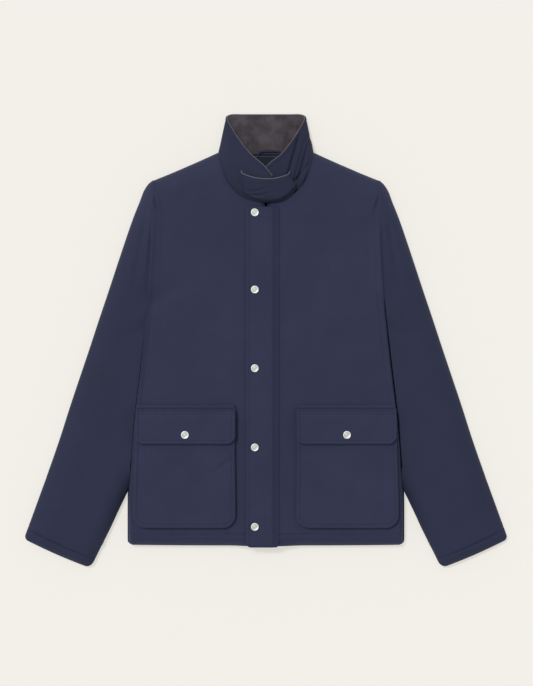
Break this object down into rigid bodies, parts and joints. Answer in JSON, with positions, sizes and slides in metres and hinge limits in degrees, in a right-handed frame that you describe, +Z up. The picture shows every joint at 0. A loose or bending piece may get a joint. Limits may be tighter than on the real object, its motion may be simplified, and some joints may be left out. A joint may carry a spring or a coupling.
{
  "type": "foul weather jacket",
  "caption": "Waist-length foul weather jacket laid flat on its back, with a lined stand-up collar, a snapped storm placket over a zip, flap pockets and tabbed cuffs.",
  "frame": {"origin": "centre of the jacket's footprint, on the surface it lies on, sleeves spread and its back down", "axes": "+X towards the wearer's left sleeve, +Y from hem to collar, +Z up out of the front"},
  "size_m": [0.884, 0.8354, 0.0637],
  "materials": {
    "shell": "matt navy cotton-touch nylon",
    "lining": "smooth dark navy lining",
    "corduroy": "brushed warm grey pile",
    "piping": "grey braid",
    "hook_and_loop": "dark hook-and-loop tape",
    "snap_metal": "satin nickel plate",
    "zip_metal": "dark metal",
    "zip_tape": "woven tape"
  },
  "bodies": {
    "jacket": {"back_panel": "shell", "back_lining": "lining", "neck_facing": "shell", "hanger_loop": "shell", "front_panel_left": "shell", "front_panel_right": "shell", "front_yoke_left": "shell", "front_yoke_right": "shell", "front_lining_left": "lining", "front_lining_right": "lining", "sleeve_upper_left": "shell", "sleeve_upper_right": "shell", "collar_shell": "shell", "collar_lining": "corduroy", "collar_piping": "piping", "throat_loop_pad": "hook_and_loop", "front_snap_stud_1": "snap_metal", "front_snap_stud_2": "snap_metal", "front_snap_stud_3": "snap_metal", "front_snap_stud_4": "snap_metal", "front_snap_stud_5": "snap_metal", "zip_chain_left": "zip_metal", "zip_chain_right": "zip_metal", "zip_tape_left": "zip_tape", "zip_tape_right": "zip_tape", "zip_box": "zip_metal", "pocket_bag_left": "shell", "pocket_bag_right": "shell", "pocket_welt_left": "shell", "pocket_welt_right": "shell", "pocket_snap_stud_left": "snap_metal", "pocket_snap_stud_right": "snap_metal"},
    "placket": {"storm_placket": "shell", "front_snap_cap_1": "snap_metal", "front_snap_cap_2": "snap_metal", "front_snap_cap_3": "snap_metal", "front_snap_cap_4": "snap_metal", "front_snap_cap_5": "snap_metal"},
    "throat_tab": {"throat_tab": "shell", "throat_piping": "piping", "throat_hook_pad": "hook_and_loop"},
    "zip_slider": {"zip_slider": "zip_metal", "zip_pull": "zip_metal"},
    "pocket_flap_left": {"pocket_flap_left": "shell", "pocket_snap_cap_left": "snap_metal"},
    "forearm_left": {"sleeve_lower_left": "shell", "sleeve_lining_left": "lining", "cuff_snap_stud_left": "snap_metal"},
    "cuff_tab_left": {"cuff_tab_left": "shell", "cuff_snap_cap_left": "snap_metal"},
    "pocket_flap_right": {"pocket_flap_right": "shell", "pocket_snap_cap_right": "snap_metal"},
    "forearm_right": {"sleeve_lower_right": "shell", "sleeve_lining_right": "lining", "cuff_snap_stud_right": "snap_metal"},
    "cuff_tab_right": {"cuff_tab_right": "shell", "cuff_snap_cap_right": "snap_metal"}
  },
  "joints": [
    {"name": "placket_fold", "type": "hinge", "parent": "jacket", "child": "placket", "pos_m": [0.024, -0.065, 0.0404], "axis": [0, 1, 0], "range_deg": [0, 110]},
    {"name": "throat_tab_fold", "type": "hinge", "parent": "jacket", "child": "throat_tab", "pos_m": [0.045, 0.299, 0.0571], "axis": [0, 0.9854, 0.1705], "range_deg": [0, 130]},
    {"name": "zip_slide", "type": "slide", "parent": "jacket", "child": "zip_slider", "axis": [0, -1, 0], "range_m": [0, 0.585]},
    {"name": "pocket_flap_left_lift", "type": "hinge", "parent": "jacket", "child": "pocket_flap_left", "pos_m": [0.149, -0.129, 0.0505], "axis": [-1, 0, 0], "range_deg": [0, 150]},
    {"name": "elbow_left", "type": "hinge", "parent": "jacket", "child": "forearm_left", "pos_m": [0.281, -0.041, 0.016], "axis": [0, 0, 1], "range_deg": [0, 40]},
    {"name": "cuff_tab_left_peel", "type": "hinge", "parent": "forearm_left", "child": "cuff_tab_left", "pos_m": [0.30126, -0.37955, 0.001], "axis": [0.4421, -0.897, 0], "range_deg": [0, 45]},
    {"name": "pocket_flap_right_lift", "type": "hinge", "parent": "jacket", "child": "pocket_flap_right", "pos_m": [-0.149, -0.129, 0.0505], "axis": [-1, 0, 0], "range_deg": [0, 150]},
    {"name": "elbow_right", "type": "hinge", "parent": "jacket", "child": "forearm_right", "pos_m": [-0.281, -0.041, 0.016], "axis": [0, 0, -1], "range_deg": [0, 40]},
    {"name": "cuff_tab_right_peel", "type": "hinge", "parent": "forearm_right", "child": "cuff_tab_right", "pos_m": [-0.30126, -0.37955, 0.001], "axis": [0.4421, 0.897, 0], "range_deg": [0, 45]}
  ]
}
